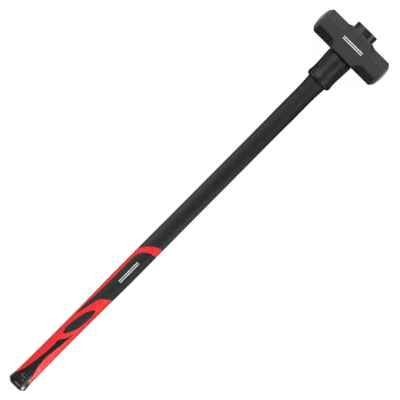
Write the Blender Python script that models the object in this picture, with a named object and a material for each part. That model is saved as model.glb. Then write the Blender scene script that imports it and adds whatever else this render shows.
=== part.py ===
"""Double-faced sledge hammer: a forged head on an overmoulded fibreglass handle.

It lies on one flat of the head. X runs along the handle towards the head, Y along the head
and Z up. Lengths are in metres. Stations along the handle are counted from the butt end.
"""

import math

import bmesh
import bpy
import numpy as np
from mathutils import Vector

# ---- driving dimensions -------------------------------------------------------------------

OVERALL_LENGTH = 0.900
GAP = 0.0003  # clearance left between neighbouring pieces

# head: a regular octagon bar with square cheeks round the eye
HEAD_THICKNESS = 0.0534  # across two opposite flats
HEAD_LENGTH = 0.1555  # between the poles of the two crowned faces
CROWN_RADIUS = 0.068  # sphere of each striking face
CROWN_RIM = 0.020  # radius at which the crown meets the rim bevel
RIM_BEVEL_ANGLE = math.radians(38)  # away from the plane of the face
RUNOUT_RADIUS = 0.0153  # concave end of each long chamfer
RUNOUT_START = 0.0395  # distance from the eye's centre at which the runout begins
BOSS_HEIGHT = 0.0025  # raised land round the mouth of the eye
BOSS_TOP_HALF = 0.0253
BOSS_FOOT_HALF = 0.0320
STUB_HEIGHT = 0.0138  # handle end standing out above the boss
RESIN = 0.0006  # thickness of the resin layer in the eye
EYE_SEGMENTS = 40

# handle: outside width (along Y) by station, and its depth (along Z) as a share of the width
WIDTH_BY_STATION = [
    (0.0000, 0.0374),
    (0.0075, 0.0385),
    (0.0130, 0.0378),
    (0.0185, 0.0363),
    (0.0240, 0.0356),
    (0.0605, 0.0347),
    (0.1105, 0.0339),
    (0.1885, 0.0344),
    (0.2340, 0.0353),
    (0.2790, 0.0361),
    (0.3730, 0.0358),
    (0.4140, 0.0353),
    (0.6495, 0.0353),
    (0.6945, 0.0359),
    (0.7295, 0.0357),
    (0.7495, 0.0364),
    (0.7645, 0.0382),
    (0.7895, 0.0412),
    (0.8290, 0.0463),
    (0.9000, 0.0463),
]
DEPTH_SHARE_BY_STATION = [
    (0.000, 0.90),
    (0.300, 0.88),
    (0.420, 0.85),
    (0.765, 0.85),
    (0.829, 0.69),
    (0.900, 0.69),
]
SHAFT_SQUARENESS = 2.15  # superellipse exponent of the handle's section
CORE_RADIUS = 0.0105
CORE_START = 0.0360
CORE_RECESS = 0.0010  # the rod's end lies this far below the end of the stub
SKIN = 0.0020  # thickness of the grip sleeve and of its inlays
CAP_SOLID = 0.0345  # the butt cap is solid up to this station
END_BEVEL = 0.0057  # bevel round the butt end, along the handle
END_BEVEL_DROP = 0.0064  # and how far it takes the edge in
DIMPLE_STATION = 0.0217
DIMPLE_RADIUS = 0.0070
DIMPLE_DEPTH = 0.0024
RING_SEGMENTS = 32
SKIN_PITCH = 0.022  # spacing of the sections along the grip

# strike collar: outside width by station
COLLAR_START = 0.7691
COLLAR_END = 0.8293
COLLAR_LIP_RADIUS = 0.0055
COLLAR_BY_STATION = [
    (0.7771, 0.0510),
    (0.7816, 0.0499),
    (0.7876, 0.0491),
    (0.7986, 0.0496),
    (0.8116, 0.0509),
    (COLLAR_END, 0.0524),
]
COLLAR_DEPTH_LOW = 0.90
COLLAR_DEPTH_HIGH = 0.80
COLLAR_SQUARENESS_LOW = 2.15
COLLAR_SQUARENESS_HIGH = 1.85

# colour boundaries of the grip, as (station, Y), seen from above and the same from below
BAND_APEX = 0.3590  # where the sleeve's upper edge leaves the narrow side
BAND_SLOPE = 22.8  # curvature of that edge, per metre
PANEL_OUTLINE = [
    (0.3423, -0.0230),
    (0.3420, -0.0178),
    (0.3409, -0.0080),
    (0.3380, -0.0020),
    (0.3340, 0.0035),
    (0.3285, 0.0083),
    (0.3210, 0.0113),
    (0.3110, 0.0125),
    (0.2940, 0.0121),
    (0.2307, 0.0120),
    (0.2094, 0.0130),
    (0.1877, 0.0143),
    (0.1690, 0.0137),
    (0.1780, 0.0117),
    (0.1886, 0.0089),
    (0.2047, 0.0057),
    (0.2153, 0.0026),
    (0.2237, -0.0046),
    (0.2296, -0.0132),
    (0.2324, -0.0180),
    (0.2340, -0.0230),
]
OVAL_OUTLINE = [
    (0.1978, -0.0066),
    (0.1886, -0.0107),
    (0.1618, -0.0093),
    (0.1458, -0.0057),
    (0.1288, 0.0036),
    (0.1356, 0.0082),
    (0.1482, 0.0088),
    (0.1674, 0.0061),
    (0.1836, 0.0023),
]
TONGUE_OUTLINE = [
    (0.0189, -0.0230),
    (0.0212, -0.0174),
    (0.0251, -0.0144),
    (0.0347, -0.0108),
    (0.0466, -0.0072),
    (0.0593, -0.0049),
    (0.0752, -0.0038),
    (0.0914, -0.0052),
    (0.1074, -0.0075),
    (0.1232, -0.0090),
    (0.1391, -0.0092),
    (0.1256, -0.0046),
    (0.1150, 0.0020),
    (0.1085, 0.0030),
    (0.1017, 0.0026),
    (0.0860, 0.0031),
    (0.0647, 0.0056),
    (0.0487, 0.0079),
    (0.0347, 0.0104),
    (0.0230, 0.0142),
    (0.0197, 0.0178),
    (0.0187, 0.0230),
]

# ---- derived dimensions -------------------------------------------------------------------

HALF = HEAD_THICKNESS / 2
AXIS_HEIGHT = HALF  # the hammer rests on one flat of the head
CHAMFER_DEPTH = HALF * (math.sqrt(2) - 1)  # a regular octagon's corner, along its diagonal
HEAD_STATION = OVERALL_LENGTH - STUB_HEIGHT - BOSS_HEIGHT - HALF
FAR = 0.05  # well outside the handle, for cutters
BAND_REACH = 0.022  # outlines of the grip run out to this far on each side


def smooth_table(table):
    """A smooth function through the table that never overshoots between two entries."""
    xs = np.array([row[0] for row in table])
    ys = np.array([row[1] for row in table])
    steps = np.diff(xs)
    rises = np.diff(ys) / steps
    slopes = np.zeros(len(xs))
    for i in range(1, len(xs) - 1):
        if rises[i - 1] * rises[i] > 0:
            before = 2 * steps[i] + steps[i - 1]
            after = steps[i] + 2 * steps[i - 1]
            slopes[i] = (before + after) / (before / rises[i - 1] + after / rises[i])

    def value(x):
        x = min(max(x, xs[0]), xs[-1])
        i = min(int(np.searchsorted(xs, x, side="right")) - 1, len(xs) - 2)
        h = steps[i]
        u = (x - xs[i]) / h
        start = (1 + 2 * u) * (1 - u) ** 2 * ys[i] + u * (1 - u) ** 2 * h * slopes[i]
        end = u * u * (3 - 2 * u) * ys[i + 1] + u * u * (u - 1) * h * slopes[i + 1]
        return float(start + end)

    return value


handle_width = smooth_table(WIDTH_BY_STATION)
depth_share = smooth_table(DEPTH_SHARE_BY_STATION)
collar_width = smooth_table(COLLAR_BY_STATION)


def handle_half(station, inset=0.0):
    """Half width and half depth of the handle at a station, made smaller by inset."""
    half = handle_width(station) / 2
    return half - inset, half * depth_share(station) - inset


# ---- mesh building ------------------------------------------------------------------------


def add_object(name, vertices, faces):
    mesh = bpy.data.meshes.new(name)
    mesh.from_pydata([Vector(v) for v in vertices], [], faces)
    mesh.validate()
    obj = bpy.data.objects.new(name, mesh)
    bpy.context.scene.collection.objects.link(obj)
    bm = bmesh.new()
    bm.from_mesh(mesh)
    bmesh.ops.recalc_face_normals(bm, faces=bm.faces)
    bm.to_mesh(mesh)
    bm.free()
    return obj


def place(station, y, z):
    """A point from a station along the handle and offsets from the handle's axis."""
    return (station - OVERALL_LENGTH / 2, y, z + AXIS_HEIGHT)


def ring(station, half_width, half_depth, squareness, count=RING_SEGMENTS):
    points = []
    for i in range(count):
        angle = 2 * math.pi * i / count
        c = math.cos(angle)
        s = math.sin(angle)
        y = half_width * math.copysign(abs(c) ** (2 / squareness), c)
        z = half_depth * math.copysign(abs(s) ** (2 / squareness), s)
        points.append(place(station, y, z))
    return points


def skin_rings(rings, closed=False):
    """Faces between rings of equal size. A loft has its ends filled, a closed tube joins up."""
    count = len(rings[0])
    faces = []
    pairs = len(rings) if closed else len(rings) - 1
    for r in range(pairs):
        here = r * count
        there = ((r + 1) % len(rings)) * count
        for i in range(count):
            j = (i + 1) % count
            faces.append((here + i, here + j, there + j, there + i))
    if not closed:
        faces.append(tuple(range(count)))
        faces.append(tuple(range((len(rings) - 1) * count, len(rings) * count)))
    return faces


def loft(name, rings):
    return add_object(name, [p for r in rings for p in r], skin_rings(rings))


def tube(name, outer, inner):
    rings = outer + inner[::-1]
    return add_object(name, [p for r in rings for p in r], skin_rings(rings, closed=True))


def handle_rings(stations, inset=0.0):
    return [ring(s, *handle_half(s, inset), SHAFT_SQUARENESS) for s in stations]


def spaced(start, end, pitch):
    count = max(1, math.ceil((end - start) / pitch))
    return [start + (end - start) * i / count for i in range(count + 1)]


def prism(name, outline, low=-FAR, high=FAR):
    """An outline of (station, y) points stood up along Z."""
    count = len(outline)
    bottom = [place(x, y, low) for x, y in outline]
    top = [place(x, y, high) for x, y in outline]
    faces = [tuple(range(count)), tuple(range(count, 2 * count))]
    for i in range(count):
        j = (i + 1) % count
        faces.append((i, j, count + j, count + i))
    return add_object(name, bottom + top, faces)


def curve_through(points, closed, pitch=0.0065):
    """A smooth curve through the points, sampled about every pitch."""
    count = len(points)
    curve = []
    for i in range(count if closed else count - 1):
        if closed:
            picks = [points[(i + k) % count] for k in (-1, 0, 1, 2)]
        else:
            picks = [points[min(max(i + k, 0), count - 1)] for k in (-1, 0, 1, 2)]
        p0, p1, p2, p3 = (Vector(p) for p in picks)
        steps = max(2, math.ceil((p2 - p1).length / pitch))
        for k in range(steps):
            u = k / steps
            along = (p2 - p0) * u
            bend = (2 * p0 - 5 * p1 + 4 * p2 - p3) * u**2
            finish = (3 * p1 - p0 - 3 * p2 + p3) * u**3
            curve.append(tuple(p1 + 0.5 * (along + bend + finish)))
    if not closed:
        curve.append(tuple(points[-1]))
    return curve


def grown(outline, amount):
    """The outline moved outwards by amount. It is a closed loop of (station, y) points."""
    count = len(outline)
    area = sum(
        outline[i][0] * outline[(i + 1) % count][1] - outline[(i + 1) % count][0] * outline[i][1]
        for i in range(count)
    )
    turn = 1.0 if area > 0 else -1.0
    moved = []
    for i in range(count):
        before = Vector(outline[i - 1])
        here = Vector(outline[i])
        after = Vector(outline[(i + 1) % count])
        sides = []
        for edge in (here - before, after - here):
            edge.normalize()
            sides.append(Vector((edge.y, -edge.x)) * turn)
        middle = (sides[0] + sides[1]).normalized()
        reach = amount / max(0.5, middle.dot(sides[0]))
        moved.append(tuple(here + middle * reach))
    return moved


def cut(obj, tool, operation="DIFFERENCE"):
    """Applies a boolean and removes the tool."""
    modifier = obj.modifiers.new(operation.lower(), "BOOLEAN")
    modifier.operation = operation
    modifier.solver = "EXACT"
    modifier.object = tool
    bpy.context.view_layer.update()
    graph = bpy.context.evaluated_depsgraph_get()
    result = bpy.data.meshes.new_from_object(obj.evaluated_get(graph))
    obj.modifiers.clear()
    old = obj.data
    obj.data = result
    bpy.data.meshes.remove(old)
    bpy.data.objects.remove(tool)
    return obj


def finish(obj, colour, roughness, metallic=0.0, sharp=35):
    """Welds, smooths the round surfaces and gives the piece its own material."""
    mesh = obj.data
    bm = bmesh.new()
    bm.from_mesh(mesh)
    bmesh.ops.remove_doubles(bm, verts=bm.verts, dist=1e-6)
    bmesh.ops.dissolve_degenerate(bm, edges=bm.edges, dist=1e-6)
    bm.to_mesh(mesh)
    bm.free()
    for polygon in mesh.polygons:
        polygon.use_smooth = True
    mesh.set_sharp_from_angle(angle=math.radians(sharp))
    material = bpy.data.materials.new(obj.name)
    material.use_nodes = True
    shader = material.node_tree.nodes["Principled BSDF"]
    shader.inputs["Base Color"].default_value = (*colour, 1.0)
    shader.inputs["Roughness"].default_value = roughness
    shader.inputs["Metallic"].default_value = metallic
    mesh.materials.clear()
    mesh.materials.append(material)
    return obj


# ---- head ---------------------------------------------------------------------------------


def head_block():
    """The bar's full square section, with the low boss on the side that the stub leaves."""
    low = HEAD_STATION - HALF
    high = HEAD_STATION + HALF
    end = HEAD_LENGTH / 2
    outline = [
        (low, -end),
        (high, -end),
        (high, -BOSS_FOOT_HALF),
        (high + BOSS_HEIGHT, -BOSS_TOP_HALF),
        (high + BOSS_HEIGHT, BOSS_TOP_HALF),
        (high, BOSS_FOOT_HALF),
        (high, end),
        (low, end),
    ]
    return prism("hammer_head", outline, -HALF, HALF)


def face_profile():
    """Half of the head's turned outline, as (radius, distance from the eye's centre)."""
    drop = CROWN_RADIUS - math.sqrt(CROWN_RADIUS**2 - CROWN_RIM**2)
    steps = 5
    points = []
    for i in range(1, steps + 1):
        r = CROWN_RIM * i / steps
        points.append((r, HEAD_LENGTH / 2 - CROWN_RADIUS + math.sqrt(CROWN_RADIUS**2 - r**2)))
    outside = HALF * 1.6  # beyond the corners of the square cheeks
    rim_end = HEAD_LENGTH / 2 - drop - (outside - CROWN_RIM) * math.tan(RIM_BEVEL_ANGLE)
    points.append((outside, rim_end))
    return points


def turned_limit():
    """The solid of revolution that gives the head its two crowned and bevelled faces."""
    count = 48
    profile = face_profile()
    profile = profile + [(r, -d) for r, d in reversed(profile)]
    vertices = [(HEAD_STATION - OVERALL_LENGTH / 2, HEAD_LENGTH / 2, AXIS_HEIGHT)]
    for r, d in profile:
        for i in range(count):
            angle = 2 * math.pi * i / count
            vertices.append(place(HEAD_STATION + r * math.cos(angle), d, r * math.sin(angle)))
    vertices.append((HEAD_STATION - OVERALL_LENGTH / 2, -HEAD_LENGTH / 2, AXIS_HEIGHT))
    faces = []
    for i in range(count):
        faces.append((0, 1 + i, 1 + (i + 1) % count))
    for k in range(len(profile) - 1):
        here = 1 + k * count
        there = here + count
        for i in range(count):
            j = (i + 1) % count
            faces.append((here + i, there + i, there + j, here + j))
    last = len(vertices) - 1
    here = last - count
    for i in range(count):
        faces.append((last, here + (i + 1) % count, here + i))
    return add_object("turned_limit", vertices, faces)


def chamfer_cutters():
    """Eight cutters: each long edge of the bar, on both sides of the eye, with its runout."""
    reach = CHAMFER_DEPTH + BOSS_HEIGHT
    steps = 6
    profile = [(RUNOUT_START, 0.0)]
    last = math.acos((RUNOUT_RADIUS - reach) / RUNOUT_RADIUS)
    for i in range(1, steps + 1):
        angle = last * i / steps
        away = RUNOUT_START - RUNOUT_RADIUS * math.sin(angle)
        profile.append((away, RUNOUT_RADIUS * (1 - math.cos(angle))))
    profile.append((HEAD_LENGTH, reach))
    profile.append((HEAD_LENGTH, 0.0))
    flat = HALF * math.sqrt(2) - CHAMFER_DEPTH  # from the bar's axis to the chamfer's plane
    side = HALF * 0.53  # half width of the cutter, wider than the chamfer
    vertices = []
    faces = []
    for quarter in range(4):
        angle = math.pi / 4 + quarter * math.pi / 2
        out = Vector((math.cos(angle), math.sin(angle)))
        along = Vector((-out.y, out.x))
        for sign in (1, -1):
            first = len(vertices)
            count = len(profile)
            for shift in (-side, side):
                for away, rise in profile:
                    p = out * (flat + rise) + along * shift
                    vertices.append(place(HEAD_STATION + p.x, sign * away, p.y))
            faces.append(tuple(range(first, first + count)))
            faces.append(tuple(range(first + count, first + 2 * count)))
            for i in range(count):
                j = (i + 1) % count
                faces.append((first + i, first + j, first + count + j, first + count + i))
    return add_object("chamfer_cutters", vertices, faces)


def eye_rings(stations, growth):
    """Rings of the eye's oval, larger than the handle's tenon by growth."""
    rings = []
    for s in stations:
        half_width, half_depth = handle_half(OVERALL_LENGTH)
        rings.append(
            ring(s, half_width + growth, half_depth + growth, SHAFT_SQUARENESS, EYE_SEGMENTS)
        )
    return rings


def build_head():
    head = head_block()
    cut(head, turned_limit(), "INTERSECT")
    cut(head, chamfer_cutters())
    ends = [HEAD_STATION - HEAD_LENGTH, HEAD_STATION + HEAD_LENGTH]
    cut(head, loft("eye", eye_rings(ends, RESIN + 2 * GAP)))
    return finish(head, (0.06, 0.06, 0.062), 0.5, 0.4, sharp=9)


def build_resin():
    """The resin fills the eye round the tenon and stops flush with both mouths."""
    stations = [HEAD_STATION - HALF, HEAD_STATION + HALF + BOSS_HEIGHT]
    resin = tube("eye_resin", eye_rings(stations, RESIN + GAP), eye_rings(stations, GAP))
    return finish(resin, (0.16, 0.12, 0.07), 0.35)


# ---- handle -------------------------------------------------------------------------------


def band_edge(y):
    """Station of the grip sleeve's upper edge."""
    return BAND_APEX - BAND_SLOPE * (y + 0.0177) ** 2


def band_line(shift):
    """Points along the sleeve's upper edge, from one side of the handle to the other."""
    return [(band_edge(y) + shift, y) for y in np.linspace(-BAND_REACH, BAND_REACH, 13)]


def panel_area():
    return curve_through(PANEL_OUTLINE, closed=False)


def oval_area():
    return curve_through(OVAL_OUTLINE, closed=True)


def cap_area():
    beyond = -FAR
    return curve_through(TONGUE_OUTLINE, closed=False) + [(beyond, 0.023), (beyond, -0.023)]


def skin_tube(name, start, end):
    """A length of the layer that the grip sleeve and its inlays are cut from."""
    stations = spaced(start, end, SKIN_PITCH)
    return tube(name, handle_rings(stations), handle_rings(stations, SKIN))


def build_core():
    ends = [CORE_START, OVERALL_LENGTH - CORE_RECESS]
    rings = [ring(s, CORE_RADIUS, CORE_RADIUS, 2.0, 28) for s in ends]
    return finish(loft("fibreglass_core", rings), (0.55, 0.5, 0.3), 0.45)


def build_jacket():
    """Full section from the grip's edge to the stub, and a thinner section under the grip."""
    lowest = band_edge(BAND_REACH)
    stations = spaced(lowest - 0.02, 0.74, 0.03)
    stations += [0.750, 0.757, 0.765, 0.777, 0.790, 0.803, 0.816, 0.829, OVERALL_LENGTH - 0.0012]
    rings = handle_rings(stations)
    half_width, half_depth = handle_half(OVERALL_LENGTH, 0.0012)
    rings.append(ring(OVERALL_LENGTH, half_width, half_depth, SHAFT_SQUARENESS))
    jacket = loft("shaft_jacket", rings)
    below = band_line(GAP) + [(0.0, BAND_REACH), (0.0, -BAND_REACH)]
    cut(jacket, prism("below_band", below))
    inner = handle_rings(spaced(CAP_SOLID + GAP, BAND_APEX + 0.01, 0.03), SKIN + GAP)
    cut(jacket, loft("under_grip", inner), "UNION")
    bore = [
        ring(s, CORE_RADIUS + GAP, CORE_RADIUS + GAP, 2.0, 28)
        for s in (0.0, OVERALL_LENGTH + FAR)
    ]
    cut(jacket, loft("bore", bore))
    return finish(jacket, (0.035, 0.035, 0.036), 0.5)


def build_sleeve():
    sleeve = skin_tube("grip_sleeve", 0.012, BAND_APEX + 0.008)
    end = OVERALL_LENGTH
    cut(sleeve, prism("beyond", band_line(0.0) + [(end, BAND_REACH), (end, -BAND_REACH)]))
    cut(sleeve, prism("cap_window", grown(cap_area(), GAP)))
    cut(sleeve, prism("panel_window", grown(panel_area(), GAP)))
    cut(sleeve, prism("oval_window", grown(oval_area(), GAP)))
    return finish(sleeve, (0.75, 0.035, 0.03), 0.5)


def build_panel():
    panel = skin_tube("palm_panel", 0.160, 0.352)
    cut(panel, prism("panel_limit", panel_area()), "INTERSECT")
    return finish(panel, (0.03, 0.03, 0.032), 0.6)


def build_oval(name, sign):
    oval = skin_tube(name, 0.120, 0.205)
    low, high = sorted((0.0, sign * FAR))
    cut(oval, prism("oval_limit", oval_area(), low, high), "INTERSECT")
    return finish(oval, (0.03, 0.03, 0.032), 0.6)


def build_cap():
    """The flared end, solid as far as the handle's rod, with a tongue on each side."""
    half_width, half_depth = handle_half(0.0, END_BEVEL_DROP)
    rings = [ring(0.0, half_width, half_depth, SHAFT_SQUARENESS)]
    rings += handle_rings([END_BEVEL, 0.008, 0.0105, 0.013, 0.016, 0.0185, 0.0235, 0.029])
    rings += handle_rings(spaced(CAP_SOLID, 0.146, SKIN_PITCH))
    cap = loft("butt_cap", rings)
    cut(cap, prism("cap_limit", cap_area()), "INTERSECT")
    plug = handle_rings(spaced(0.012, CAP_SOLID, 0.008), SKIN + GAP)
    cut(cap, loft("plug", plug), "UNION")
    hollow = handle_rings(spaced(CAP_SOLID, 0.160, SKIN_PITCH), SKIN)
    cut(cap, loft("hollow", hollow))
    sphere = (DIMPLE_RADIUS**2 + DIMPLE_DEPTH**2) / (2 * DIMPLE_DEPTH)
    surface = handle_half(DIMPLE_STATION)[1]
    for sign in (1, -1):
        bpy.ops.mesh.primitive_uv_sphere_add(
            segments=40,
            ring_count=30,
            radius=sphere,
            location=place(DIMPLE_STATION, 0.0, sign * (surface - DIMPLE_DEPTH + sphere)),
        )
        cut(cap, bpy.context.active_object)
    return finish(cap, (0.03, 0.03, 0.032), 0.5)


def build_collar():
    """The rubber guard: a rounded lip below, widening to the head above."""
    stations = []
    widths = []
    lip_end = COLLAR_START + COLLAR_LIP_RADIUS
    for i in range(5):
        angle = math.pi / 2 * i / 4
        stations.append(lip_end - COLLAR_LIP_RADIUS * math.cos(angle))
        fall = COLLAR_LIP_RADIUS * (1 - math.sin(angle))
        widths.append(collar_width(COLLAR_BY_STATION[0][0]) - 2 * fall)
    for s in [0.7775, 0.782, 0.788, 0.797, 0.807, 0.818, COLLAR_END]:
        stations.append(s)
        widths.append(collar_width(s))
    outer = []
    for s, width in zip(stations, widths):
        share = (s - COLLAR_START) / (COLLAR_END - COLLAR_START)
        depth = COLLAR_DEPTH_LOW + (COLLAR_DEPTH_HIGH - COLLAR_DEPTH_LOW) * share
        squareness = (
            COLLAR_SQUARENESS_LOW + (COLLAR_SQUARENESS_HIGH - COLLAR_SQUARENESS_LOW) * share
        )
        full = collar_width(max(s, COLLAR_BY_STATION[0][0]))
        fall = (full - width) / 2
        outer.append(ring(s, width / 2, full / 2 * depth - fall, squareness))
    inner = []
    for s in stations:
        inner.append(ring(s, *handle_half(s, -GAP), SHAFT_SQUARENESS))
    return finish(tube("strike_collar", outer, inner), (0.03, 0.03, 0.03), 0.55)


for old in list(bpy.data.objects):
    bpy.data.objects.remove(old)

build_head()
build_resin()
build_core()
build_jacket()
build_sleeve()
build_panel()
build_oval("oval_inlay_top", 1)
build_oval("oval_inlay_under", -1)
build_cap()
build_collar()
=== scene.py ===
"""The looks of the sledge hammer: finer shapes, materials, floor, lights and camera.

Lengths are in metres, in the part's own frame: X along the handle towards the head, Y along
the head and Z up. Stations along the handle are counted from the butt end.
"""

import math

import bmesh
import bpy
import numpy as np
from mathutils import Matrix, Vector, kdtree
from mathutils.geometry import delaunay_2d_cdt


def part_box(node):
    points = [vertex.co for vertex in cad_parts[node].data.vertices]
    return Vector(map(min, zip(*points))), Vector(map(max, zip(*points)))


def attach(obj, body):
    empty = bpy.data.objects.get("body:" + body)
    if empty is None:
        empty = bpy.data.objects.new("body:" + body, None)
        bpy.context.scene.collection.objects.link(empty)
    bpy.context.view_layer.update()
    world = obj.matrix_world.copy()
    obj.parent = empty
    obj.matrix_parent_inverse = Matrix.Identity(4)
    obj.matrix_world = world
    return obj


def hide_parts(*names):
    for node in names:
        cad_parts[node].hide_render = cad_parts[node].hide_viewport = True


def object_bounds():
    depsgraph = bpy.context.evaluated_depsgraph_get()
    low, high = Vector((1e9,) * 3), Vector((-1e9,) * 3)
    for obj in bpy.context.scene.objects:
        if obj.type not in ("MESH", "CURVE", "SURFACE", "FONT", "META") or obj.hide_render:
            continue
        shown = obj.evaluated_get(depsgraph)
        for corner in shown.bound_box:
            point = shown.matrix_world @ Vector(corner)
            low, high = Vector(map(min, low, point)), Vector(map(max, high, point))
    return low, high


# ---- the object's dimensions, as in the part ----

HEAD_LENGTH = 0.1555
CROWN_RADIUS = 0.068
CROWN_RIM = 0.020
RIM_BEVEL_SLOPE = math.tan(math.radians(38))
RUNOUT_RADIUS = 0.0153
RUNOUT_START = 0.0395
BOSS_HEIGHT = 0.0025
BOSS_TOP_HALF = 0.0253
BOSS_FOOT_HALF = 0.0320
EYE_CLEARANCE = 0.0012  # all round between the eye's wall and the handle

WIDTH_BY_STATION = [
    (0.0000, 0.0374), (0.0075, 0.0385), (0.0130, 0.0378), (0.0185, 0.0363),
    (0.0240, 0.0356), (0.0605, 0.0347), (0.1105, 0.0339), (0.1885, 0.0344),
    (0.2340, 0.0353), (0.2790, 0.0361), (0.3730, 0.0358), (0.4140, 0.0353),
    (0.6495, 0.0353), (0.6945, 0.0359), (0.7295, 0.0357), (0.7495, 0.0364),
    (0.7645, 0.0382), (0.7895, 0.0412), (0.8290, 0.0463), (0.9000, 0.0463),
]
DEPTH_SHARE_BY_STATION = [
    (0.000, 0.90), (0.300, 0.88), (0.420, 0.85), (0.765, 0.85),
    (0.829, 0.69), (0.900, 0.69),
]
SHAFT_SQUARENESS = 2.15
CORE_RADIUS = 0.0105
CORE_START = 0.0360
CORE_RECESS = 0.0010
SKIN = 0.0020
END_BEVEL = 0.0057
END_BEVEL_DROP = 0.0064
DIMPLE_STATION = 0.0217
DIMPLE_RADIUS = 0.0070
DIMPLE_DEPTH = 0.0024

COLLAR_START = 0.7691
COLLAR_END = 0.8293
COLLAR_LIP_RADIUS = 0.0055
COLLAR_BY_STATION = [
    (0.7771, 0.0510), (0.7816, 0.0499), (0.7876, 0.0491), (0.7986, 0.0496),
    (0.8116, 0.0509), (COLLAR_END, 0.0524),
]
COLLAR_DEPTH_LOW = 0.90
COLLAR_DEPTH_HIGH = 0.80

BAND_APEX = 0.3590
BAND_SLOPE = 22.8
BAND_CENTRE = -0.0177
PANEL_OUTLINE = [
    (0.3423, -0.0230), (0.3420, -0.0178), (0.3409, -0.0080), (0.3380, -0.0020),
    (0.3340, 0.0035), (0.3285, 0.0083), (0.3210, 0.0113), (0.3110, 0.0125),
    (0.2940, 0.0121), (0.2307, 0.0120), (0.2094, 0.0130), (0.1877, 0.0143),
    (0.1690, 0.0137), (0.1780, 0.0117), (0.1886, 0.0089), (0.2047, 0.0057),
    (0.2153, 0.0026), (0.2237, -0.0046), (0.2296, -0.0132), (0.2324, -0.0180),
    (0.2340, -0.0230),
]
OVAL_OUTLINE = [
    (0.1978, -0.0066), (0.1886, -0.0107), (0.1618, -0.0093), (0.1458, -0.0057),
    (0.1288, 0.0036), (0.1356, 0.0082), (0.1482, 0.0088), (0.1674, 0.0061),
    (0.1836, 0.0023),
]
TONGUE_OUTLINE = [
    (0.0189, -0.0230), (0.0212, -0.0174), (0.0251, -0.0144), (0.0347, -0.0108),
    (0.0466, -0.0072), (0.0593, -0.0049), (0.0752, -0.0038), (0.0914, -0.0052),
    (0.1074, -0.0075), (0.1232, -0.0090), (0.1391, -0.0092), (0.1256, -0.0046),
    (0.1150, 0.0020), (0.1085, 0.0030), (0.1017, 0.0026), (0.0860, 0.0031),
    (0.0647, 0.0056), (0.0487, 0.0079), (0.0347, 0.0104), (0.0230, 0.0142),
    (0.0197, 0.0178), (0.0187, 0.0230),
]

# ---- fine shape, beyond what the part holds ----

HEAD_EDGE = 0.0009  # rounding of the forging's long edges
CHEEK_EDGE = 0.0026  # rounding of the square cheeks' edges
CROWN_EDGE = 0.0007  # rounding between the ground face and its bevel
EYE_CHAMFER = 0.0006
SEAM_ROUND = 0.0004  # rounding of the moulded pieces where they meet others
LIP_RISE = 0.0002  # how far the soft sleeve swells towards its seams
LIP_REACH = 0.0020  # how far from a seam the swelling starts
INLAY_RISE = 0.0002  # how far the inlays stand above the sleeve
GRIP_PITCH = 0.0016  # point spacing on the grip
SEAM_PITCH = 0.0009  # point spacing along its seams
COLUMNS = 160  # points round the handle
FIT = 0.0002  # clearance of the rod in the jacket, and of the collar round it
JACKET_STEP = 0.0003  # how much deeper than the grip's skin the jacket steps down under it
STUB_EDGE = 0.0012
TOP_BREAK = 0.0022  # the butt's bevel above and below
BUTT_TAPER = 0.09  # share of its depth that the cap loses towards the butt
BUTT_TAPER_RUN = 0.0090
BEVEL_BREADTH = 2.4  # how fast the butt's bevel grows from the top to the sides
DIMPLE_BLEND = 0.0003  # rounding of the dimple's rim
DIMPLE_CLEAR = 0.012  # the dimple changes nothing beyond this
OUTLINE_REACH = 0.023  # the open outlines run out to this far on each side
FAR = 0.05  # well beyond the butt, to close the tongue's outline
SIDE_CLEAR = 0.0003  # strip left free of points along the grip's sides and ends

# ---- colours, worn paint with painted edge highlights, and print ----

HEAD_BLACK = (0.0290, 0.0290, 0.0300)
JACKET_BLACK = (0.0095, 0.0095, 0.0100)
GRIP_BLACK = (0.0115, 0.0115, 0.0120)
GRIP_RED = (0.76, 0.015, 0.019)
CAP_BLACK = (0.0120, 0.0120, 0.0125)
COLLAR_BLACK = (0.0090, 0.0090, 0.0090)
PRINT_WHITE = (0.78, 0.78, 0.77)
GROUND_RADIUS = 0.0200  # bare steel of a striking face, out from the head's axis
GROUND_START = 0.0700  # and from here on along the head
GROUND_RAGGED = 0.0009
ARM_WEAR_AND_HIGHLIGHT = (0.0011, 0.0003)  # from an edge, where worn paint with a painted highlight starts and is full
CHEEK_WEAR_AND_HIGHLIGHT = (0.0022, 0.0006)
RIM_WEAR_AND_HIGHLIGHT = (0.0008, 0.0004)  # worn paint with a painted highlight, before and beyond the start of the rim's bevel
HEAD_PRINT_STATION = 0.8600
HEAD_PRINT_LENGTH = 0.046
HEAD_PRINT_WIDTH = 0.0014
PANEL_PRINT_STATION = 0.2890
PANEL_PRINT_Y = -0.0020
PANEL_PRINT_LENGTH = 0.048
PANEL_PRINT_WIDTH = 0.0013
PRINT_GAP = 0.0024
PARTING_LINE = (0.0005, 0.0004)  # width and softness of the line that a mould's halves leave
NOISE_SPREAD = (0.3, 0.7)  # most of a noise's values lie between these

# ---- view and stage ----

VIEW_WIDTH = 0.7183  # metres across the picture at the height of the handle's axis
CAMERA_DISTANCE = 12.0
CAMERA_OVER = (0.0210, -0.0007)  # the camera's place along the handle and across it
CAMERA_TURN = math.radians(45.18)  # the handle slants up to the right in the picture
SENSOR_WIDTH = 36.0
FLOOR_SIZE = 60.0
FLOOR_DROP = 0.0002
FLOOR_GLOW = 0.985  # what the camera sees
NEAR_GLOW = 0.80  # what the object sees, beside the handle and beyond the faces
FAR_GLOW = 0.02  # and elsewhere
GLOW_ACROSS = (0.04, 0.12)  # beside the handle, how far to the side the glow fades
GLOW_ALONG = (0.16, 0.24)  # and how far along
GLOW_BEYOND = (0.085, 0.110)  # beyond the faces, where it begins
GLOW_OUT = (0.35, 0.60)  # where it fades again
GLOW_BAND = (0.10, 0.03)  # and its width along the handle, with its softness
WORLD_PALE = 0.97
WORLD_ON_OBJECT = 0.018

# ---- the frame ----

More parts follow.
